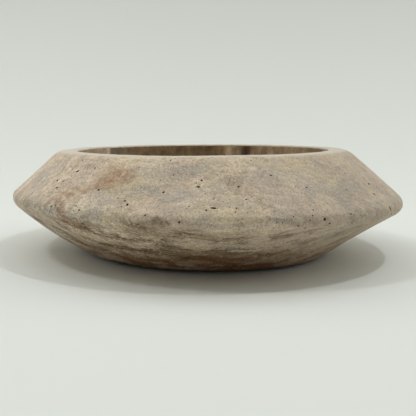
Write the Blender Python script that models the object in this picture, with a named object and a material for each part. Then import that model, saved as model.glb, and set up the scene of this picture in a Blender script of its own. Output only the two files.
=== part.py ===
"""A carved stone bowl on four protective pads, in metres, +Z up.

The outside is two cones that meet in a rounded belly, the rim is flat, and the hollow is dished.
The origin is on the table, under the middle of the belly. The bowl is cut by hand, so its rim is
a little off the axis and a little tilted, and its lower flank is fuller on one side.
"""

import math

import bmesh
import bpy
from mathutils import Vector

# Driving dimensions of the stone
BELLY_CORNER = 0.19445  # radius where the two flanks would meet; rounded off, the belly reaches 0.190
BELLY_HEIGHT = 0.0537
BELLY_ROUND = 0.0075
RIM_HEIGHT = 0.100
RIM_OUTER_RADIUS = 0.1428
RIM_OUTER_ROUND = 0.016
RIM_INNER_RADIUS = 0.1237
RIM_INNER_ROUND = 0.0015
BASE_RADIUS = 0.1216
BASE_HEIGHT = 0.0025
BASE_EDGE_ROUND = 0.012
FLANK_BOW = 0.0007  # how far the lower flank swells out between belly and base
FLOOR_THICKNESS = 0.022
HOLLOW_SQUARENESS = 2.4  # exponent of the hollow's superellipse: 2 is an ellipse, more is boxier

# What the hand of the carver left
RIM_OFFSET = -0.0060  # the rim's centre, along X
RIM_TILT = 0.0211  # rise of the rim along X, in metres per metre
BASE_OFFSET = -0.0020
LEFT_FULLNESS = 0.0018  # extra swell of the lower flank on the -X side, and as much less on the +X side

# Protective pads
PAD_COUNT = 4
PAD_RADIUS = 0.010
PAD_EDGE_ROUND = 0.0004
PAD_CIRCLE_RADIUS = 0.088
PAD_GAP = 0.0003  # left for the film of glue between a pad and the stone

# How finely the round shapes are cut into flats
TURN_STEPS = 80
PAD_STEPS = 32
BASE_EDGE_STEPS = 3
FLANK_STEPS = 7
BELLY_STEPS = 7
RIM_OUTER_STEPS = 4
RIM_INNER_STEPS = 2
HOLLOW_STEPS = 12


def clear_scene():
    for thing in list(bpy.data.objects):
        bpy.data.objects.remove(thing, do_unlink=True)


def plain_material(name, colour, roughness):
    material = bpy.data.materials.new(name)
    material.use_nodes = True
    shader = material.node_tree.nodes["Principled BSDF"]
    shader.inputs["Base Color"].default_value = (*colour, 1.0)
    shader.inputs["Roughness"].default_value = roughness
    shader.inputs["Metallic"].default_value = 0.0
    return material


def rounded_corner(before, corner, after, radius, steps):
    """Points of the arc that rounds off the corner between two straight lines."""
    back = (before - corner).normalized()
    ahead = (after - corner).normalized()
    half_angle = back.angle(ahead) / 2
    centre = corner + (back + ahead).normalized() * (radius / math.sin(half_angle))
    start = corner + back * (radius / math.tan(half_angle)) - centre
    end = corner + ahead * (radius / math.tan(half_angle)) - centre
    sweep = start.angle(end)
    points = []
    for step in range(steps + 1):
        share = step / steps
        toward_start = math.sin((1 - share) * sweep) / math.sin(sweep)
        toward_end = math.sin(share * sweep) / math.sin(sweep)
        points.append(centre + start * toward_start + end * toward_end)
    return points


def bowed_line(start, end, bow, steps):
    """Points between start and end, left out themselves, on a line that swells to its right by bow."""
    along = end - start
    outward = Vector((along.y, -along.x)).normalized()
    points = []
    for step in range(1, steps):
        share = step / steps
        points.append(start + along * share + outward * (bow * 4 * share * (1 - share)))
    return points


def hollow_curve(steps):
    """Radius and height down the wall of the hollow, from just under the rim's edge to the floor."""
    floor = BASE_HEIGHT + FLOOR_THICKNESS
    top = RIM_HEIGHT - RIM_INNER_ROUND
    points = []
    for step in range(steps):
        angle = math.pi / 2 * step / steps
        radius = RIM_INNER_RADIUS * math.cos(angle) ** (2 / HOLLOW_SQUARENESS)
        height = top - (top - floor) * math.sin(angle) ** (2 / HOLLOW_SQUARENESS)
        points.append(Vector((radius, height)))
    return points


def bowl_section(angle):
    """Radius and height round the wall of the bowl, from the base's edge up and over into the hollow."""
    base_centre = Vector((0.0, BASE_HEIGHT))
    base = Vector((BASE_RADIUS, BASE_HEIGHT))
    belly = Vector((BELLY_CORNER, BELLY_HEIGHT))
    rim_outer = Vector((RIM_OUTER_RADIUS, RIM_HEIGHT))
    rim_inner = Vector((RIM_INNER_RADIUS, RIM_HEIGHT))
    under_rim = Vector((RIM_INNER_RADIUS, BELLY_HEIGHT))
    base_edge = rounded_corner(base_centre, base, belly, BASE_EDGE_ROUND, BASE_EDGE_STEPS)
    nose = rounded_corner(base, belly, rim_outer, BELLY_ROUND, BELLY_STEPS)
    bow = FLANK_BOW - LEFT_FULLNESS * math.cos(angle)
    flank = bowed_line(base_edge[-1], nose[0], bow, FLANK_STEPS)
    outer_edge = rounded_corner(belly, rim_outer, rim_inner, RIM_OUTER_ROUND, RIM_OUTER_STEPS)
    inner_edge = rounded_corner(rim_outer, rim_inner, under_rim, RIM_INNER_ROUND, RIM_INNER_STEPS)
    return base_edge + flank + nose + outer_edge + inner_edge + hollow_curve(HOLLOW_STEPS)[1:]


def carved_place(radius, height, angle):
    """Where a point of the ideal section lands on the bowl, with its off-centre, tilted rim."""
    x = radius * math.cos(angle)
    y = radius * math.sin(angle)
    above = max(0.0, (height - BELLY_HEIGHT) / (RIM_HEIGHT - BELLY_HEIGHT))
    below = max(0.0, (BELLY_HEIGHT - height) / (BELLY_HEIGHT - BASE_HEIGHT))
    x += RIM_OFFSET * above + BASE_OFFSET * below
    return Vector((x, y, height + RIM_TILT * x * above))


def object_from(name, mesh, material):
    mesh.materials.append(material)
    thing = bpy.data.objects.new(name, mesh)
    bpy.context.scene.collection.objects.link(thing)
    return thing


def make_bowl_body(material):
    """The turned block: one ring of points for each step round, closed at the two ends of its axis."""
    work = bmesh.new()
    columns = []
    for step in range(TURN_STEPS):
        angle = 2 * math.pi * step / TURN_STEPS
        places = [carved_place(p.x, p.y, angle) for p in bowl_section(angle)]
        columns.append([work.verts.new(place) for place in places])
    underside = work.verts.new(carved_place(0.0, BASE_HEIGHT, 0.0))
    floor = work.verts.new((BASE_OFFSET, 0.0, BASE_HEIGHT + FLOOR_THICKNESS))
    for step, column in enumerate(columns):
        following = columns[(step + 1) % TURN_STEPS]
        work.faces.new((underside, following[0], column[0]))
        work.faces.new((floor, column[-1], following[-1]))
        for low in range(len(column) - 1):
            work.faces.new((column[low], following[low], following[low + 1], column[low + 1]))
    mesh = bpy.data.meshes.new("bowl_body")
    work.to_mesh(mesh)
    work.free()
    mesh.shade_smooth()
    mesh.set_sharp_from_angle(angle=math.radians(35))
    return object_from("bowl_body", mesh, material)


def pad_mesh():
    """A disc with its lower face on the table and both edges softened."""
    height = BASE_HEIGHT - PAD_GAP
    mesh = bpy.data.meshes.new("foot_pad")
    work = bmesh.new()
    bmesh.ops.create_cone(
        work,
        cap_ends=True,
        segments=PAD_STEPS,
        radius1=PAD_RADIUS,
        radius2=PAD_RADIUS,
        depth=height,
    )
    bmesh.ops.translate(work, verts=work.verts, vec=(0.0, 0.0, height / 2))
    rims = [edge for edge in work.edges if abs(edge.verts[0].co.z - edge.verts[1].co.z) < height / 2]
    bmesh.ops.bevel(work, geom=rims, offset=PAD_EDGE_ROUND, segments=2, profile=0.5, affect="EDGES")
    work.to_mesh(mesh)
    work.free()
    mesh.shade_smooth()
    mesh.set_sharp_from_angle(angle=math.radians(35))
    return mesh


def make_foot_pads(material):
    """Four pads on a circle, halfway between the bowl's front, back and sides."""
    mesh = pad_mesh()
    mesh.materials.append(material)
    for number in range(PAD_COUNT):
        angle = 2 * math.pi * (number + 0.5) / PAD_COUNT
        pad = bpy.data.objects.new(f"foot_pad_{number + 1}", mesh)
        pad.location = (PAD_CIRCLE_RADIUS * math.cos(angle), PAD_CIRCLE_RADIUS * math.sin(angle), 0.0)
        bpy.context.scene.collection.objects.link(pad)


clear_scene()
make_bowl_body(plain_material("travertine", (0.37, 0.30, 0.22), 0.7))
make_foot_pads(plain_material("pad_rubber", (0.030, 0.027, 0.024), 0.8))
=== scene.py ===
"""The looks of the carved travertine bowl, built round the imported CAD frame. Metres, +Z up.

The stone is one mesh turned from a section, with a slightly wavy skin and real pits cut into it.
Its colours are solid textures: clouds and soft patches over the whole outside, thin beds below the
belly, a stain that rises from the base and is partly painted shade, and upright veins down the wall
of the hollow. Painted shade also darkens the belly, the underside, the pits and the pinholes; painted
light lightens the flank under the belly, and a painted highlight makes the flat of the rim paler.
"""

import math
import random

import bmesh
import bpy
from mathutils import Matrix, Vector, noise


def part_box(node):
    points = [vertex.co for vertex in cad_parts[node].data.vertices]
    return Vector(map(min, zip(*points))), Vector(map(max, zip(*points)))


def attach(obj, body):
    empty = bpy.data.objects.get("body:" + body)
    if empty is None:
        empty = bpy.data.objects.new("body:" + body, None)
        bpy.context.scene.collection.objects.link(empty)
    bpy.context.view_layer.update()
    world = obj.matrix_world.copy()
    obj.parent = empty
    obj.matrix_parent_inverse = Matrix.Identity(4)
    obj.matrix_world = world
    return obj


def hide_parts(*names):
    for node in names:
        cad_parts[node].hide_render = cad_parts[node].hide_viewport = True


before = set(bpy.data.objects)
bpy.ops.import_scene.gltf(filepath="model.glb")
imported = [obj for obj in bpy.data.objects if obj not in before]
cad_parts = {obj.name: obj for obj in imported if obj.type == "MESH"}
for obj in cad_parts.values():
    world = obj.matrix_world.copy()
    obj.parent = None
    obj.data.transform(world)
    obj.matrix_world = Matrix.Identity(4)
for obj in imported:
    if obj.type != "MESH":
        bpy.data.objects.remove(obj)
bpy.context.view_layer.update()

MM = 0.001

# The section of the stone, as in the CAD
BODY_LOW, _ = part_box("bowl_body")
BELLY_CORNER = 194.45 * MM
BELLY_HEIGHT = 53.7 * MM
BELLY_ROUND = 7.5 * MM
RIM_HEIGHT = 100 * MM
RIM_OUTER_RADIUS = 142.8 * MM
RIM_OUTER_ROUND = 16 * MM
RIM_INNER_RADIUS = 123.7 * MM
RIM_INNER_ROUND = 1.5 * MM
BASE_RADIUS = 121.6 * MM
BASE_HEIGHT = BODY_LOW.z
BASE_EDGE_ROUND = 12 * MM
FLANK_BOW = 0.7 * MM
FLOOR_HEIGHT = BASE_HEIGHT + 22 * MM
HOLLOW_SQUARENESS = 2.4
RIM_OFFSET = -6.0 * MM
RIM_TILT = 0.0211
BASE_OFFSET = -2.0 * MM
LEFT_FULLNESS = 1.8 * MM

# The mesh of the stone
TURN_STEPS = 300
ROW_STEP = 3.0 * MM
FINE_ROW_STEP = 1.0 * MM
UNDERSIDE_START = 4 * MM  # radius of the first row of the flat underside
HOLLOW_LENGTH = 1.4  # length down the wall of the hollow, over the rim's inner radius

# The hand-worked skin: height of the waves, and waves per metre
WAVES = ((0.35 * MM, 18.0), (0.16 * MM, 70.0), (0.07 * MM, 190.0))

# Material slots of the stone
HONED = 0
POLISHED = 1
PITTED = 2

# The holes that show in the front of the stone. Bearing in degrees from the front, positive to the
# right; height in mm; radius in mm; how many times longer than wide; lean of the long way in degrees.
PITS = (
    (-0.5, 83, 0.95, 1.0, 0),
    (-2, 81, 0.55, 1.0, 0),
    (-1.5, 78.5, 0.80, 2.0, -15),
    (1.7, 64.6, 0.80, 2.9, -3),
    (0.0, 63.2, 0.80, 1.0, 0),
    (7, 64.5, 0.70, 1.2, 0),
    (-4, 65.5, 0.60, 1.0, 0),
    (-6.3, 54.5, 0.90, 1.0, 0),
    (-14, 58.5, 0.70, 1.2, 20),
    (-10.5, 74.3, 0.80, 1.3, 30),
    (4, 87, 0.50, 1.0, 0),
    (7, 82.5, 0.55, 1.0, 0),
    (9, 78.5, 0.70, 1.4, 0),
    (19.5, 86, 0.75, 1.5, 0),
    (-20, 67.5, 0.85, 1.1, 0),
    (-19, 65, 0.95, 1.2, 90),
    (-20.4, 63.5, 0.50, 1.0, 0),
    (-29, 74, 0.90, 1.1, 0),
    (-35, 90, 0.60, 1.4, 35),
    (-41.5, 86.5, 0.95, 1.7, 35),
    (-42.5, 82.5, 0.60, 1.2, 35),
    (-44.5, 78, 0.70, 1.8, 40),
    (-45, 72.5, 0.95, 1.6, 30),
    (-40, 60, 0.80, 1.0, 0),
    (-41.5, 58.5, 0.75, 1.2, 0),
    (28, 55.5, 1.05, 1.2, 60),
    (26, 62, 0.70, 1.0, 0),
    (25, 58.5, 0.60, 1.2, 20),
    (36.5, 57.5, 0.60, 1.7, -15),
    (37, 50.5, 0.65, 1.1, 0),
    (21, 51.5, 0.65, 1.2, -20),
    (17, 54.5, 0.50, 1.0, 0),
    (20, 58.5, 0.55, 1.0, 0),
    (23, 49, 0.50, 1.0, 0),
    (24, 55.5, 0.60, 1.0, 0),
    (29.5, 52, 0.60, 1.6, 0),
    (26.5, 43, 0.65, 1.4, 10),
    (42, 73.5, 0.60, 1.2, 0),
    (41.5, 55.5, 0.55, 1.0, 0),
    (53, 68, 0.95, 1.8, -45),
    (55, 56.5, 0.85, 3.2, -55),
)
PIT_DEPTH = 1.3  # half the height of the ball that cuts a pit, over its radius
PIT_SINK = 0.25  # how far the middle of that ball lies under the skin, over its radius
PIT_FINESSE = 3
KNOBBLE = 0.35  # how uneven the balls are
CLEARANCE = 1.3  # least distance between two holes, over the sum of their reaches

# Holes and chips scattered over the whole stone; any that come too near another are left out
SCATTERED_PITS = 420
SCATTER_SEED = 11
SCATTERED_FINESSE = 2
SMALLEST_PIT = 0.30 * MM
LARGEST_PIT = 0.85 * MM
SMALL_PIT_SHARE = 2.2  # the higher, the more of the pits are small
PIT_STRETCHES = (1.0, 1.0, 1.2, 1.6, 2.4)
PIT_LEAN = 0.5  # in radians, either way
RIM_CHIPS = 26
CHIP_DEPTH = 0.5  # half the height of the ball that cuts a chip, over its radius
SMALLEST_CHIP = 0.5  # in mm
LARGEST_CHIP = 1.1  # in mm
LONGEST_CHIP = 2.2  # times longer than wide

SAME_POINT = 0.0001 * MM  # corners nearer than this are joined after the pits are cut
SHARP_EDGE = math.radians(50)

# Soft patches of colour in the stone: bearing, height in mm, half sizes in mm across, through and up,
# the colour's name, and how strong it is
PATCHES = (
    (-24, 86, 13, 22, 7, "rust", 0.75),
    (-27, 78, 12, 22, 6, "rust", 0.65),
    (-29, 72, 13, 20, 4, "rust", 0.60),
    (-33, 68, 14, 20, 4, "rust", 0.65),
    (-37, 62, 14, 20, 4, "rust", 0.65),
    (-39, 53, 10, 20, 5, "rust", 0.70),
    (-36, 46, 12, 20, 5, "rust", 0.55),
    (-25, 14, 30, 24, 5, "rust", 0.60),
    (-2, 94, 30, 22, 6, "grey", 0.50),
    (-12, 89, 24, 20, 8, "grey", 0.45),
    (-13, 76, 20, 20, 7, "grey", 0.35),
    (22, 83, 26, 20, 7, "grey", 0.30),
    (46, 73, 18, 22, 9, "grey", 0.60),
    (-59, 76, 14, 30, 14, "grey", 0.45),
    (-52, 54, 16, 24, 7, "grey", 0.40),
    (-50, 39, 20, 24, 10, "grey", 0.55),
    (40, 40, 24, 22, 9, "grey", 0.40),
    (-42, 79, 14, 26, 8, "cream", 0.65),
    (-43, 67, 12, 24, 6, "cream", 0.20),
    (-31, 57, 9, 20, 6, "cream", 0.60),
    (8, 90, 20, 22, 8, "cream", 0.40),
    (5, 70, 34, 22, 9, "cream", 0.40),
    (-24, 42, 17, 22, 6, "cream", 0.60),
    (-23, 34, 10, 22, 5, "cream", 0.55),
    (35, 83, 26, 22, 10, "cream", 0.30),
    (-13, 51, 12, 18, 3, "brown", 0.75),
    (-18, 46, 13, 20, 5, "brown", 0.75),
    (-11, 41, 20, 20, 5, "brown", 0.80),
    (1, 39, 16, 20, 4, "brown", 0.75),
    (-30, 27, 18, 22, 6, "brown", 0.55),
    (-35, 47, 14, 20, 5, "brown", 0.55),
    (-37, 31, 18, 22, 6, "brown", 0.45),
    (-16, 25, 26, 22, 6, "brown", 0.55),
    (0, 19, 34, 26, 8, "brown", 0.75),
    (6, 44, 30, 20, 5, "brown", 0.40),
    (1, 15, 16, 22, 5, "rust", 0.60),
    (22, 22, 30, 24, 8, "brown", 0.35),
)

# The camera, in front of the bowl and a little above its rim, looking slightly down
CAMERA_DISTANCE = 658 * MM
CAMERA_HEIGHT = 128.4 * MM
CAMERA_DIP = math.radians(7.64)
CAMERA_ROLL = math.radians(1.0)
LENS = 56.4
SENSOR = 36.0

# The studio: name, place, what it points at, width in metres, power in watts
SOFTBOXES = (
    ("key_right", (0.559, -0.235, 1.699), (0.0, 0.0, 0.0), 0.08, 4.50),
    ("key_left", (-0.922, -0.469, 1.471), (0.0, 0.0, 0.0), 0.22, 4.35),
    ("overhead_middle", (0.0, 0.2, 1.7), (0.0, 0.2, 0.0), 1.5, 3.2),
    ("overhead_left", (-1.2, 0.8, 1.6), (0.0, 0.5, 0.0), 1.5, 6.4),
    ("overhead_right", (1.2, 0.8, 1.6), (0.0, 0.5, 0.0), 1.5, 5.6),
    ("side_left", (-2.2, 0.5, 0.9), (0.0, 0.2, 0.0), 1.4, 5.7),
    ("side_right", (2.2, 0.5, 0.9), (0.0, 0.2, 0.0), 1.4, 6.2),
    ("fill_left", (-1.3, -1.9, 0.9), (0.0, 0.0, 0.0), 1.2, 0.6),
    ("fill_right", (1.3, -1.9, 0.9), (0.0, 0.0, 0.0), 1.2, 0.5),
)

# The dim light from all round, and what it adds overhead, between two sines of height over the horizon
HORIZON_LIGHT = 0.184
CEILING_LIGHT = 0.22
CEILING_FROM = 0.35
CEILING_FULL = 0.85
WALL_BRIGHTNESS = 0.66  # of the pale studio seen beyond the edge of the paper
WALL_COLOUR = (0.94, 1.0, 0.92, 1.0)

# The paper sweep that the bowl stands on: it curves up from SWEEP_START with a radius of SWEEP_ROUND
SWEEP_FRONT = -12.0
SWEEP_START = 0.35
SWEEP_ROUND = 2.2
SWEEP_TOP = 3.5
SWEEP_HALF_WIDTH = 12.0
SWEEP_STEPS = 48

# The glow that keeps the paper pale beyond the lamps' reach: distances from the bowl, and strength
GLOW_FROM = 0.9
GLOW_FULL = 2.6
GLOW_STRENGTH = 0.37
GLOW_COLOUR = (0.95, 1.0, 0.94, 1.0)


# ---------------------------------------------------------------- section

def rounded_corner(before, corner, after, radius, step_length):
    """Points of the arc that rounds off the corner between two straight lines."""
    back = (before - corner).normalized()
    ahead = (after - corner).normalized()
    half_angle = back.angle(ahead) / 2
    centre = corner + (back + ahead).normalized() * (radius / math.sin(half_angle))
    start = corner + back * (radius / math.tan(half_angle)) - centre
    end = corner + ahead * (radius / math.tan(half_angle)) - centre
    sweep = start.angle(end)
    steps = max(3, round(sweep * radius / step_length))
    points = []
    for step in range(steps + 1):
        share = step / steps
        toward_start = math.sin((1 - share) * sweep) / math.sin(sweep)
        toward_end = math.sin(share * sweep) / math.sin(sweep)
        points.append(centre + start * toward_start + end * toward_end)
    return points


def bowed_line(start, end, bow, step_length):
    """Points between start and end on a line that swells to its right by bow; the ends are left out."""
    along = end - start
    outward = Vector((along.y, -along.x)).normalized()
    steps = max(2, round(along.length / step_length))
    points = []
    for step in range(1, steps):
        share = step / steps
        points.append(start + along * share + outward * (bow * 4 * share * (1 - share)))
    return points


def hollow_curve():
    """Radius and height down the wall of the hollow, from under the rim's edge to near its middle."""
    top = RIM_HEIGHT - RIM_INNER_ROUND
    steps = round(HOLLOW_LENGTH * RIM_INNER_RADIUS / ROW_STEP)
    points = []
    for step in range(1, steps):
        angle = math.pi / 2 * step / steps
        radius = RIM_INNER_RADIUS * math.cos(angle) ** (2 / HOLLOW_SQUARENESS)
        height = top - (top - FLOOR_HEIGHT) * math.sin(angle) ** (2 / HOLLOW_SQUARENESS)
        points.append(Vector((radius, height)))
    return points


def bowl_section(angle):
    """Rows of the section at this angle, from the middle of the underside round to the hollow.

    Each row is (radius, height, slot), with the material slot of the outside or the hollow.
    """
    base_centre = Vector((UNDERSIDE_START, BASE_HEIGHT))
    base = Vector((BASE_RADIUS, BASE_HEIGHT))
    belly = Vector((BELLY_CORNER, BELLY_HEIGHT))
    rim_outer = Vector((RIM_OUTER_RADIUS, RIM_HEIGHT))
    rim_inner = Vector((RIM_INNER_RADIUS, RIM_HEIGHT))
    under_rim = Vector((RIM_INNER_RADIUS, BELLY_HEIGHT))
    base_edge = rounded_corner(base_centre, base, belly, BASE_EDGE_ROUND, ROW_STEP)
    nose = rounded_corner(base, belly, rim_outer, BELLY_ROUND, FINE_ROW_STEP)
    outer_edge = rounded_corner(belly, rim_outer, rim_inner, RIM_OUTER_ROUND, FINE_ROW_STEP * 2)
    inner_edge = rounded_corner(rim_outer, rim_inner, under_rim, RIM_INNER_ROUND, FINE_ROW_STEP / 2)
    bow = FLANK_BOW - LEFT_FULLNESS * math.cos(angle)
    outside = [base_centre]
    outside += bowed_line(base_centre, base_edge[0], 0.0, ROW_STEP * 3)
    outside += base_edge
    outside += bowed_line(base_edge[-1], nose[0], bow, ROW_STEP)
    outside += nose
    outside += bowed_line(nose[-1], outer_edge[0], 0.0, ROW_STEP)
    outside += outer_edge
    outside += bowed_line(outer_edge[-1], inner_edge[0], 0.0, ROW_STEP)
    outside += inner_edge
    return [(p.x, p.y, HONED) for p in outside] + [(p.x, p.y, POLISHED) for p in hollow_curve()]


def carved_place(radius, height, angle):
    """Where a point of the ideal section lands on the bowl, with its off-centre, tilted rim."""
    x = radius * math.cos(angle)
    y = radius * math.sin(angle)
    above = max(0.0, (height - BELLY_HEIGHT) / (RIM_HEIGHT - BELLY_HEIGHT))
    below = max(0.0, (BELLY_HEIGHT - height) / (BELLY_HEIGHT - BASE_HEIGHT))
    x += RIM_OFFSET * above + BASE_OFFSET * below
    return Vector((x, y, height + RIM_TILT * x * above))


# ---------------------------------------------------------------- stone mesh

def turned_block():
    """The bowl without its pits: one ring of points for each step round."""
    work = bmesh.new()
    columns = []
    for step in range(TURN_STEPS):
        angle = 2 * math.pi * step / TURN_STEPS
        places = [carved_place(radius, height, angle) for radius, height, _ in bowl_section(angle)]
        columns.append([work.verts.new(place) for place in places])
    slots = [row[2] for row in bowl_section(0.0)]
    underside = work.verts.new(carved_place(0.0, BASE_HEIGHT, 0.0))
    floor = work.verts.new((BASE_OFFSET, 0.0, FLOOR_HEIGHT))
    for step, column in enumerate(columns):
        following = columns[(step + 1) % TURN_STEPS]
        work.faces.new((underside, following[0], column[0]))
        work.faces.new((floor, column[-1], following[-1])).material_index = POLISHED
        for low in range(len(column) - 1):
            face = work.faces.new((column[low], following[low], following[low + 1], column[low + 1]))
            face.material_index = slots[low + 1]
    work.normal_update()
    for vertex in work.verts:
        if vertex.co.z > BASE_HEIGHT + 0.1 * MM:
            lift = sum(size * noise.noise(vertex.co * rate) for size, rate in WAVES)
            vertex.co += vertex.normal * lift
    bmesh.ops.triangulate(work, faces=work.faces)
    mesh = bpy.data.meshes.new("stone_bowl")
    work.to_mesh(mesh)
    work.free()
    return mesh


def skin_place(angle, row, share):
    """Place and outward normal on the skin, a share of the way from one row to the next."""
    rows = bowl_section(angle)
    here = Vector(rows[row][:2])
    step = Vector(rows[row + 1][:2]) - here
    spot = here + step * share
    outward = Vector((step.y * math.cos(angle), step.y * math.sin(angle), -step.x)).normalized()
    return carved_place(spot.x, spot.y, angle), outward


def on_outside(bearing, height):
    """Place and outward normal on the outside, by bearing in degrees and height in mm."""
    angle = math.radians(bearing - 90)
    height = height * MM
    rows = bowl_section(angle)
    row = next(at for at in range(1, len(rows) - 1) if rows[at + 1][1] > height)
    share = (height - rows[row][1]) / (rows[row + 1][1] - rows[row][1])
    return skin_place(angle, row, share)


def add_hollow(work, place, outward, sizes, lean, sink, slot, finesse):
    """A knobbly ball, sunk in the skin, that will be cut away; its long way leans from the level.

    The sizes are its half lengths along its long way, across it, and outward from the skin.
    """
    level = Vector((0.0, 0.0, 1.0)).cross(outward)
    level = level.normalized() if level.length > 0.05 else Vector((1.0, 0.0, 0.0))
    upward = outward.cross(level)
    along = level * math.cos(lean) + upward * math.sin(lean)
    across = outward.cross(along)
    ball = bmesh.ops.create_icosphere(work, subdivisions=finesse, radius=1.0)
    for vertex in ball["verts"]:
        knob = 1 + KNOBBLE * noise.noise(vertex.co * 1.4 + place * 900)
        x, y, z = vertex.co * knob
        spot = place - outward * sink + along * (x * sizes[0])
        vertex.co = spot + across * (y * sizes[1]) + outward * (z * sizes[2])
    for face in {face for vertex in ball["verts"] for face in vertex.link_faces}:
        face.material_index = slot


def cutter_mesh():
    """All the holes and chips in one mesh, kept clear of each other."""
    dice = random.Random(SCATTER_SEED)
    work = bmesh.new()
    taken = []

    def cut(place, outward, radius, stretch, lean, slot, finesse):
        reach = radius * stretch
        if any((place - other).length < CLEARANCE * (reach + room) for other, room in taken):
            return
        taken.append((place, reach))
        depth, sink = (PIT_DEPTH, PIT_SINK) if slot == PITTED else (CHIP_DEPTH, 0.0)
        sizes = (reach, radius, radius * depth)
        add_hollow(work, place, outward, sizes, lean, radius * sink, slot, finesse)

    for bearing, height, radius, stretch, lean in PITS:
        place, outward = on_outside(bearing, height)
        cut(place, outward, radius * MM, stretch, math.radians(lean), PITTED, PIT_FINESSE)

    rows = bowl_section(0.0)
    areas = []
    for row, following in zip(rows, rows[1:]):
        areas.append(row[0] * (Vector(row[:2]) - Vector(following[:2])).length)
    for _ in range(SCATTERED_PITS):
        angle = dice.uniform(0, 2 * math.pi)
        row = dice.choices(range(len(areas)), areas)[0]
        place, outward = skin_place(angle, row, dice.random())
        radius = SMALLEST_PIT + (LARGEST_PIT - SMALLEST_PIT) * dice.random() ** SMALL_PIT_SHARE
        stretch = dice.choice(PIT_STRETCHES)
        lean = dice.uniform(-PIT_LEAN, PIT_LEAN)
        cut(place, outward, radius, stretch, lean, PITTED, SCATTERED_FINESSE)

    rim_edge = next(at for at in range(len(rows) - 1) if rows[at + 1][2] == POLISHED)
    for _ in range(RIM_CHIPS):
        angle = dice.uniform(0, 2 * math.pi)
        place, outward = skin_place(angle, rim_edge - dice.choice((1, 2)), 0.5)
        radius = dice.uniform(SMALLEST_CHIP, LARGEST_CHIP) * MM
        stretch = dice.uniform(1.0, LONGEST_CHIP)
        cut(place, outward, radius, stretch, 0.0, HONED, SCATTERED_FINESSE)

    mesh = bpy.data.meshes.new("cutter")
    work.to_mesh(mesh)
    work.free()
    return mesh


def join_same_points(mesh):
    """Joins the corners that the cutting left on top of each other."""
    work = bmesh.new()
    work.from_mesh(mesh)
    bmesh.ops.remove_doubles(work, verts=work.verts, dist=SAME_POINT)
    bmesh.ops.dissolve_degenerate(work, edges=work.edges, dist=SAME_POINT)
    work.to_mesh(mesh)
    work.free()


def make_bowl(materials):
    """The turned block with its pits and chips cut out, as one closed mesh."""
    block = bpy.data.objects.new("block", turned_block())
    cutter = bpy.data.objects.new("cutter", cutter_mesh())
    for thing in (block, cutter):
        bpy.context.scene.collection.objects.link(thing)
        for material in materials:
            thing.data.materials.append(material)
    carving = block.modifiers.new("pits", "BOOLEAN")
    carving.operation = "DIFFERENCE"
    carving.solver = "EXACT"
    carving.material_mode = "INDEX"
    carving.object = cutter
    seen = block.evaluated_get(bpy.context.evaluated_depsgraph_get())
    mesh = bpy.data.meshes.new_from_object(seen)
    for thing in (block, cutter):
        bpy.data.objects.remove(thing)
    join_same_points(mesh)
    mesh.name = "stone_bowl"
    mesh.shade_smooth()
    mesh.set_sharp_from_angle(angle=SHARP_EDGE)
    bowl = bpy.data.objects.new("stone_bowl", mesh)
    bpy.context.scene.collection.objects.link(bowl)
    return bowl


# ---------------------------------------------------------------- materials

def linear(red, green, blue):
    """A colour given as 0 to 255 sRGB values, in the linear numbers that shaders take."""
    channels = []
    for value in (red, green, blue):
        share = value / 255
        channels.append(share / 12.92 if share <= 0.04045 else ((share + 0.055) / 1.055) ** 2.4)
    return (*channels, 1.0)


TINTS = {
    "rust": linear(158, 118, 85),
    "grey": linear(166, 157, 147),
    "cream": linear(211, 194, 168),
    "brown": linear(112, 88, 58),
    "mauve": linear(184, 165, 150),
    "tan": linear(202, 185, 150),
}
BED_TURN = (math.radians(6), 0.0, math.radians(7))  # how the beds lie in the block


def add(tree, kind, inputs=None, **settings):
    """A new node with its settings; each input is set to a value or linked to a socket."""
    node = tree.nodes.new(kind)
    for name, value in settings.items():
        setattr(node, name, value)
    for name, value in (inputs or {}).items():
        socket = node.inputs[name]
        if isinstance(value, bpy.types.NodeSocket):
            tree.links.new(value, socket)
        else:
            socket.default_value = value
    return node


def figure(tree, operation, first, second):
    return add(tree, "ShaderNodeMath", {0: first, 1: second}, operation=operation).outputs[0]


def product(tree, first, *others):
    for other in others:
        first = figure(tree, "MULTIPLY", first, other)
    return first


def total(tree, first, *others):
    for other in others:
        first = figure(tree, "ADD", first, other)
    return first


def swing(tree, value):
    """How far a cloud's value lies from its middle."""
    return figure(tree, "SUBTRACT", value, 0.5)


def spread(tree, value, low, high, to_low=0.0, to_high=1.0):
    """Softly turns the range from low to high into the range from to_low to to_high."""
    inputs = {0: value, 1: low, 2: high, 3: to_low, 4: to_high}
    return add(tree, "ShaderNodeMapRange", inputs, interpolation_type="SMOOTHSTEP").outputs[0]


def mix(tree, factor, first, second, blend="MIX"):
    inputs = {0: factor, 6: first, 7: second}
    return add(tree, "ShaderNodeMix", inputs, data_type="RGBA", blend_type=blend).outputs[2]


def grey_of(tree, value):
    """A number as a grey colour, for multiplying a colour by it."""
    return add(tree, "ShaderNodeCombineColor", {0: value, 1: value, 2: value}).outputs[0]


def stretched(tree, vector, rates, rotation=(0.0, 0.0, 0.0)):
    inputs = {"Vector": vector, "Rotation": rotation, "Scale": rates}
    return add(tree, "ShaderNodeMapping", inputs).outputs[0]


def vector_figure(tree, operation, inputs, output=0):
    return add(tree, "ShaderNodeVectorMath", inputs, operation=operation).outputs[output]


def cloud(tree, vector, rate, detail, roughness=0.55, output=0):
    inputs = {"Vector": vector, "Scale": rate, "Detail": detail, "Roughness": roughness}
    return add(tree, "ShaderNodeTexNoise", inputs).outputs[output]


def ramp(tree, value, stops):
    node = add(tree, "ShaderNodeValToRGB", {0: value})
    elements = node.color_ramp.elements
    while len(elements) < len(stops):
        elements.new(1.0)
    for element, (position, colour) in zip(elements, stops):
        element.position = position
        element.color = colour
    return node.outputs[0]


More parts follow.
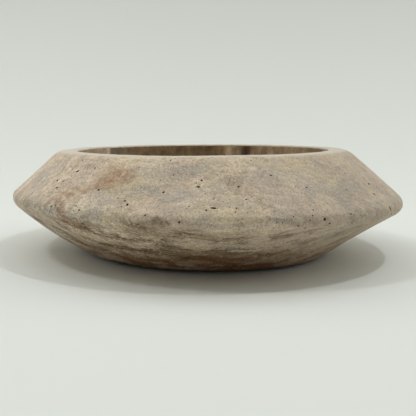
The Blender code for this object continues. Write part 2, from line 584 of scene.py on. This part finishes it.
def pushed(tree, vector, rate, detail, push):
    """The vector, pushed about by a cloud by up to about half of push."""
    about = cloud(tree, vector, rate, detail, output=1)
    about = vector_figure(tree, "SUBTRACT", {0: about, 1: (0.5, 0.5, 0.5)})
    by = vector_figure(tree, "SCALE", {0: about, "Scale": push})
    return vector_figure(tree, "ADD", {0: vector, 1: by})


def new_material(name):
    material = bpy.data.materials.new(name)
    material.use_nodes = True
    return material, material.node_tree, material.node_tree.nodes["Principled BSDF"]


def roughen(tree, shader, relief, strength, height):
    bump = add(tree, "ShaderNodeBump", {"Height": relief, "Strength": strength, "Distance": height})
    tree.links.new(bump.outputs[0], shader.inputs["Normal"])


def patch_mask(tree, vector, centre, sizes):
    """One inside an egg-shaped patch, falling softly to nothing outside it."""
    away = vector_figure(tree, "SUBTRACT", {0: vector, 1: centre})
    scaled = vector_figure(tree, "DIVIDE", {0: away, 1: sizes})
    distance = vector_figure(tree, "LENGTH", {0: scaled}, output=1)
    return spread(tree, distance, 0.5, 1.35, 1.0, 0.0)


def clouds(tree, soft, across, mottle):
    """The ground colour: light and dark tan clouds, with mauve, tan and grey veils over them."""
    broad = cloud(tree, stretched(tree, soft, (11.0, 26.0, 20.0), BED_TURN), 1.0, 4.0, 0.6)
    hue = cloud(tree, stretched(tree, soft, (17.0, 34.0, 34.0), BED_TURN), 1.0, 3.0)
    # the right-hand side is calmer than the left
    lively = spread(tree, across, 20 * MM, 110 * MM, 0.80, 0.36)
    blend = total(tree, product(tree, broad, 0.50), product(tree, mottle, 0.50))
    blend = total(tree, product(tree, swing(tree, blend), lively), 0.505)
    colour = ramp(
        tree,
        blend,
        (
            (0.38, linear(150, 132, 113)),
            (0.45, linear(185, 166, 144)),
            (0.50, linear(200, 181, 159)),
            (0.55, linear(209, 190, 168)),
            (0.63, linear(219, 202, 182)),
        ),
    )
    colour = mix(tree, spread(tree, hue, 0.50, 0.66, 0.0, 0.65), colour, TINTS["mauve"])
    colour = mix(tree, spread(tree, hue, 0.49, 0.34, 0.0, 0.45), colour, TINTS["tan"])
    veil = cloud(tree, stretched(tree, soft, (20.0, 50.0, 60.0), BED_TURN), 1.0, 4.0, 0.6, output=1)
    veil = add(tree, "ShaderNodeSeparateXYZ", {0: veil}).outputs[1]
    return mix(tree, spread(tree, veil, 0.52, 0.66, 0.0, 0.50), colour, TINTS["grey"])


def patches(tree, colour, soft, wisp, mottle):
    """The colour with the soft patches over it; the brown ones are broken into wisps."""
    for bearing, level, wide, through, up, tint, strength in PATCHES:
        centre, _ = on_outside(bearing, level)
        mask = patch_mask(tree, soft, centre, (wide * MM, through * MM, up * MM))
        broken = wisp if tint == "brown" else mottle
        broken = spread(tree, broken, 0.36, 0.62, strength * 0.5, strength * 1.15)
        colour = mix(tree, product(tree, mask, broken), colour, TINTS[tint])
    return colour


def strokes(tree, place, across, height):
    """Faint strokes that run down the upper flank on the left, as a factor near one."""
    downhill = stretched(tree, place, (1.0, 1.0, 1.0), (0.0, 0.0, math.radians(135)))
    downhill = stretched(tree, downhill, (1.0, 1.0, 1.0), (0.0, math.radians(-42), 0.0))
    stroke = cloud(tree, stretched(tree, downhill, (32.0, 360.0, 360.0)), 1.0, 4.0, 0.65)
    left = spread(tree, across, -50 * MM, -115 * MM)
    upper = spread(tree, height, 50 * MM, 62 * MM)
    return total(tree, product(tree, swing(tree, stroke), left, upper), 1.0)


def tone_and_painted_light(tree, place, across, height, wisp):
    """Light and dark over the stone: its wisps and strokes, and the right side darker. The belly and
    all below it are darkened as painted shade, and the flank under the belly is lightened as painted
    light.
    """
    return product(
        tree,
        spread(tree, wisp, 0.30, 0.70, 0.88, 1.12),
        spread(tree, across, 40 * MM, 120 * MM, 1.05, 0.87),
        strokes(tree, place, across, height),
        # painted shade: the belly and all below it darker, the upper flank a little lighter
        spread(tree, height, 66 * MM, 57 * MM, 1.03, 0.93),
        # painted light: the flank under the belly lighter
        spread(tree, height, 54 * MM, 46 * MM, 1.0, 1.20),
    )


def dark_beds(tree, colour, across, height, wisp, flock):
    """Dark brown wisps, in flocks along the beds of the lower flank, with paler stone between."""
    below = spread(tree, height, 53 * MM, 44 * MM)
    calm_right = spread(tree, across, 30 * MM, 120 * MM, 1.0, 0.5)
    clump = product(tree, spread(tree, flock, 0.47, 0.60, 0.0, 0.62), below, calm_right)
    colour = mix(tree, clump, colour, linear(118, 91, 57))
    thin = product(tree, spread(tree, wisp, 0.46, 0.58), spread(tree, flock, 0.47, 0.60), below)
    thin = product(tree, thin, spread(tree, across, 0.0, 110 * MM, 0.80, 0.40))
    colour = mix(tree, thin, colour, linear(98, 72, 40))
    pale = product(tree, spread(tree, flock, 0.50, 0.38, 0.0, 0.40), below)
    return mix(tree, pale, colour, linear(184, 160, 124))


def base_stain_and_painted_shade(tree, colour, soft, height, wisp, flock):
    """The stain that rises from the base, strongest at the front, partly brown stain and partly painted
    shade, and the underside darkened as painted shade.
    """
    level = total(tree, height, product(tree, swing(tree, wisp), 50 * MM))
    front = patch_mask(tree, soft, on_outside(2, 14)[0], (95 * MM, 60 * MM, 40 * MM))
    stain_and_painted_shade = product(
        tree,
        spread(tree, level, 30 * MM, 10 * MM),
        spread(tree, front, 0.0, 1.0, 0.34, 0.85),
        spread(tree, flock, 0.42, 0.58, 0.60, 1.10),
    )
    # brown stain, partly painted shade that darkens the flank towards the base
    colour = mix(tree, stain_and_painted_shade, colour, linear(124, 80, 42))
    # painted shade: the underside and the lowest edge of the base darker
    underside = spread(tree, height, 4 * MM, 2.8 * MM, 0.0, 0.80)
    return mix(tree, underside, colour, linear(98, 78, 56))


def pinholes(tree, place, soft):
    """One in each pinhole, with most of them in flocks and on the right of the belly."""
    vector = pushed(tree, place, 60.0, 2.0, 0.01)
    cells = add(tree, "ShaderNodeTexVoronoi", {"Vector": vector, "Scale": 300.0})
    few = spread(tree, cloud(tree, place, 95.0, 2.0), 0.48, 0.60)
    right_belly = patch_mask(tree, soft, on_outside(27, 55)[0], (75 * MM, 60 * MM, 14 * MM))
    few = figure(tree, "MAXIMUM", few, product(tree, right_belly, 0.9))
    return product(tree, spread(tree, cells.outputs["Distance"], 0.12, 0.22, 1.0, 0.0), few)


def honed_stone():
    """The matt outside, from the clouds in its ground colour to its grain and pinholes."""
    material, tree, shader = new_material("travertine_honed")
    place = add(tree, "ShaderNodeTexCoord").outputs["Object"]
    across, _, height = add(tree, "ShaderNodeSeparateXYZ", {0: place}).outputs
    soft = pushed(tree, pushed(tree, place, 9.0, 3.0, 0.050), 45.0, 4.0, 0.016)
    bedded = pushed(tree, pushed(tree, place, 9.0, 3.0, 0.030), 60.0, 4.0, 0.006)
    bedded = pushed(tree, bedded, 330.0, 3.0, 0.0024)
    wisp = cloud(tree, stretched(tree, bedded, (46.0, 230.0, 300.0), BED_TURN), 1.0, 4.0, 0.62)
    layer = cloud(tree, stretched(tree, bedded, (140.0, 640.0, 520.0), BED_TURN), 1.0, 4.0, 0.7)
    flock = cloud(tree, stretched(tree, bedded, (24.0, 70.0, 90.0), BED_TURN), 1.0, 4.0, 0.65)
    mottle = cloud(tree, soft, 120.0, 6.0, 0.70)
    speckle = cloud(tree, place, 520.0, 3.0, 0.7)
    grain = cloud(tree, place, 900.0, 2.0, 0.7)

    colour = clouds(tree, soft, across, mottle)
    colour = patches(tree, colour, soft, wisp, mottle)
    # the stone's tone, with painted shade on the belly and painted light on the flank under it
    shade = tone_and_painted_light(tree, place, across, height, wisp)
    colour = mix(tree, 1.0, colour, grey_of(tree, shade), "MULTIPLY")

    # the edges of the dark beds and of the stain and its painted shade crumble into specks
    crumble = product(tree, swing(tree, speckle), 0.35)
    flock = total(tree, flock, crumble)
    wisp = total(tree, wisp, crumble)
    colour = dark_beds(tree, colour, across, height, wisp, flock)
    colour = base_stain_and_painted_shade(tree, colour, soft, height, wisp, flock)

    # thin light and dark layers under the belly, strongest low on the left
    low_left = patch_mask(tree, soft, on_outside(-32, 34)[0], (85 * MM, 60 * MM, 26 * MM))
    under = spread(tree, height, 56 * MM, 44 * MM, 0.12, 0.75)
    contrast = total(tree, product(tree, low_left, 1.7), under)
    layered = total(tree, product(tree, swing(tree, layer), contrast), 1.0)

    # fine grain over everything
    coarse_specks = spread(tree, speckle, 0.25, 0.75, 0.76, 1.24)
    fine_specks = spread(tree, grain, 0.25, 0.75, 0.80, 1.20)
    specks = figure(tree, "SUBTRACT", product(tree, coarse_specks, fine_specks), 1.0)
    calm = spread(tree, across, 20 * MM, 110 * MM, 0.90, 0.60)
    specks = total(tree, product(tree, specks, calm), 1.0)
    colour = mix(tree, 1.0, colour, grey_of(tree, product(tree, specks, layered)), "MULTIPLY")

    # light crumbs, most of them low on the left, and the flat of the rim paler as a painted highlight
    crumbs = spread(tree, cloud(tree, place, 420.0, 2.0, 0.6), 0.57, 0.68)
    crumbs = product(tree, crumbs, spread(tree, low_left, 0.0, 1.0, 0.35, 0.75))
    colour = mix(tree, crumbs, colour, linear(222, 212, 190))
    # painted highlight: the flat of the rim paler
    level = total(tree, product(tree, across, -RIM_TILT), height)
    rim = spread(tree, level, 98.9 * MM, 99.9 * MM, 0.0, 0.65)
    colour = mix(tree, rim, colour, linear(212, 204, 190))

    hole = pinholes(tree, place, soft)
    # painted shade: the pinholes darkened inside
    colour = mix(tree, product(tree, hole, 0.70), colour, linear(76, 58, 42))
    tree.links.new(colour, shader.inputs["Base Color"])

    tree.links.new(spread(tree, mottle, 0.3, 0.7, 0.78, 0.60), shader.inputs["Roughness"])
    shader.inputs["Specular IOR Level"].default_value = 0.35
    relief = figure(tree, "SUBTRACT", product(tree, speckle, 0.8), hole)
    relief = total(tree, relief, product(tree, layer, contrast, 0.8))
    roughen(tree, shader, relief, 0.6, 0.4 * MM)
    return material


def polished_stone():
    """The smoother hollow, darker than the outside, with broad upright veins across it."""
    material, tree, shader = new_material("travertine_polished")
    place = add(tree, "ShaderNodeTexCoord").outputs["Object"]
    sway = pushed(tree, pushed(tree, place, 9.0, 2.0, 0.016), 60.0, 3.0, 0.005)
    across = add(tree, "ShaderNodeSeparateXYZ", {0: sway}).outputs[0]
    # from 0 at the left of the hollow to 1 at its right
    share = total(tree, product(tree, across, 4.0), 0.5)
    dark = linear(139, 115, 85)
    medium = linear(171, 148, 120)
    pale = linear(194, 172, 141)
    colour = ramp(
        tree,
        share,
        (
            (0.00, linear(152, 130, 103)),
            (0.020, medium),
            (0.026, pale),
            (0.034, medium),
            (0.042, pale),
            (0.047, pale),
            (0.055, linear(112, 91, 65)),
            (0.085, linear(116, 94, 68)),
            (0.105, dark),
            (0.44, linear(135, 111, 82)),
            (0.575, dark),
            (0.600, pale),
            (0.650, medium),
            (0.664, linear(112, 92, 68)),
            (0.680, linear(70, 54, 40)),
            (0.697, linear(104, 84, 62)),
            (0.715, medium),
            (0.90, medium),
            (0.94, linear(132, 110, 84)),
            (1.00, pale),
        ),
    )
    streak = cloud(tree, stretched(tree, sway, (120.0, 60.0, 45.0)), 1.0, 5.0, 0.65)
    mottle = cloud(tree, place, 120.0, 5.0, 0.65)
    streaked = spread(tree, streak, 0.3, 0.7, 0.78, 1.24)
    mottled = spread(tree, mottle, 0.3, 0.7, 0.72, 1.28)
    colour = mix(tree, 1.0, colour, grey_of(tree, product(tree, streaked, mottled)), "MULTIPLY")
    tree.links.new(colour, shader.inputs["Base Color"])
    tree.links.new(spread(tree, mottle, 0.3, 0.7, 0.30, 0.44), shader.inputs["Roughness"])
    shader.inputs["Specular IOR Level"].default_value = 0.4
    roughen(tree, shader, streak, 0.15, 0.2 * MM)
    return material


def pit_stone():
    """The rough wall of a pit, darkened as painted shade inside the hole."""
    material, tree, shader = new_material("travertine_pit")
    place = add(tree, "ShaderNodeTexCoord").outputs["Object"]
    crumbs = cloud(tree, place, 900.0, 3.0, 0.7)
    # painted shade: the wall of the pit coloured dark
    colour = ramp(tree, crumbs, ((0.35, linear(44, 34, 24)), (0.65, linear(92, 74, 54))))
    tree.links.new(colour, shader.inputs["Base Color"])
    shader.inputs["Roughness"].default_value = 0.95
    roughen(tree, shader, crumbs, 0.8, 0.3 * MM)
    return material


def pad_rubber():
    """Matt dark rubber with dust in its fine grain."""
    material, tree, shader = new_material("pad_rubber_matt")
    place = add(tree, "ShaderNodeTexCoord").outputs["Object"]
    grain = cloud(tree, place, 1500.0, 3.0, 0.6)
    dust = cloud(tree, place, 240.0, 4.0, 0.6)
    greys = ((0.40, linear(38, 34, 31)), (0.60, linear(62, 57, 52)), (0.75, linear(92, 86, 78)))
    tree.links.new(ramp(tree, dust, greys), shader.inputs["Base Color"])
    tree.links.new(spread(tree, dust, 0.4, 0.7, 0.68, 0.92), shader.inputs["Roughness"])
    roughen(tree, shader, grain, 0.5, 0.1 * MM)
    return material


# ---------------------------------------------------------------- stage

def paper():
    """Matt pale paper that glows faintly far from the bowl."""
    material, tree, shader = new_material("sweep_paper")
    shader.inputs["Base Color"].default_value = linear(231, 233, 229)
    shader.inputs["Roughness"].default_value = 0.9
    # only the distance forward and to the sides counts, because the lamps light the backdrop
    place = add(tree, "ShaderNodeTexCoord").outputs["Object"]
    forward = vector_figure(tree, "MINIMUM", {0: place, 1: (GLOW_FULL, 0.0, 0.0)})
    distance = vector_figure(tree, "LENGTH", {0: forward}, output=1)
    glow = spread(tree, distance, GLOW_FROM, GLOW_FULL, 0.0, GLOW_STRENGTH)
    shader.inputs["Emission Color"].default_value = GLOW_COLOUR
    tree.links.new(glow, shader.inputs["Emission Strength"])
    return material


def make_stage():
    """A pale floor that sweeps up into a backdrop."""
    work = bmesh.new()
    outline = [(SWEEP_FRONT, 0.0), (SWEEP_START, 0.0)]
    for step in range(1, SWEEP_STEPS + 1):
        angle = math.pi / 2 * step / SWEEP_STEPS
        back = SWEEP_START + SWEEP_ROUND * math.sin(angle)
        outline.append((back, SWEEP_ROUND * (1 - math.cos(angle))))
    outline.append((SWEEP_START + SWEEP_ROUND, SWEEP_TOP))
    left = [work.verts.new((-SWEEP_HALF_WIDTH, y, z)) for y, z in outline]
    right = [work.verts.new((SWEEP_HALF_WIDTH, y, z)) for y, z in outline]
    for low in range(len(outline) - 1):
        work.faces.new((left[low], right[low], right[low + 1], left[low + 1]))
    mesh = bpy.data.meshes.new("sweep")
    work.to_mesh(mesh)
    work.free()
    mesh.shade_smooth()
    mesh.materials.append(paper())
    sweep = bpy.data.objects.new("sweep", mesh)
    bpy.context.scene.collection.objects.link(sweep)


def make_softboxes():
    for name, place, aim, size, power in SOFTBOXES:
        lamp = bpy.data.lights.new(name, "AREA")
        lamp.shape = "DISK"
        lamp.size = size
        lamp.energy = power
        box = bpy.data.objects.new(name, lamp)
        box.location = place
        box.rotation_euler = (Vector(place) - Vector(aim)).to_track_quat("Z", "Y").to_euler()
        bpy.context.scene.collection.objects.link(box)


def make_world():
    """Dim light from all round, brighter overhead; past the paper the camera sees an even pale wall."""
    world = bpy.data.worlds.new("studio")
    world.use_nodes = True
    tree = world.node_tree
    direction = add(tree, "ShaderNodeTexCoord").outputs["Generated"]
    rise = add(tree, "ShaderNodeSeparateXYZ", {0: direction}).outputs[2]
    overhead = HORIZON_LIGHT + CEILING_LIGHT
    strength = spread(tree, rise, CEILING_FROM, CEILING_FULL, HORIZON_LIGHT, overhead)
    seen = add(tree, "ShaderNodeLightPath").outputs["Is Camera Ray"]
    strength = figure(tree, "MAXIMUM", strength, product(tree, seen, WALL_BRIGHTNESS))
    tree.links.new(strength, tree.nodes["Background"].inputs["Strength"])
    tree.nodes["Background"].inputs["Color"].default_value = WALL_COLOUR
    bpy.context.scene.world = world


def make_camera():
    lens = bpy.data.cameras.new("camera")
    lens.lens = LENS
    lens.sensor_width = SENSOR
    camera = bpy.data.objects.new("camera", lens)
    turn = Matrix.Rotation(math.pi / 2 - CAMERA_DIP, 4, "X") @ Matrix.Rotation(CAMERA_ROLL, 4, "Z")
    camera.matrix_world = Matrix.Translation((0.0, -CAMERA_DISTANCE, CAMERA_HEIGHT)) @ turn
    bpy.context.scene.collection.objects.link(camera)
    bpy.context.scene.camera = camera


# ---------------------------------------------------------------- the object

make_camera()
make_softboxes()
make_world()
make_stage()

bowl = make_bowl((honed_stone(), polished_stone(), pit_stone()))
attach(bowl, "root")
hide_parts("bowl_body")

# the pads keep the shape they have in the CAD
rubber = pad_rubber()
for name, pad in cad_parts.items():
    if name.startswith("foot_pad"):
        for place in pad.material_slots:
            place.material = rubber

bpy.context.scene.view_settings.view_transform = "Standard"
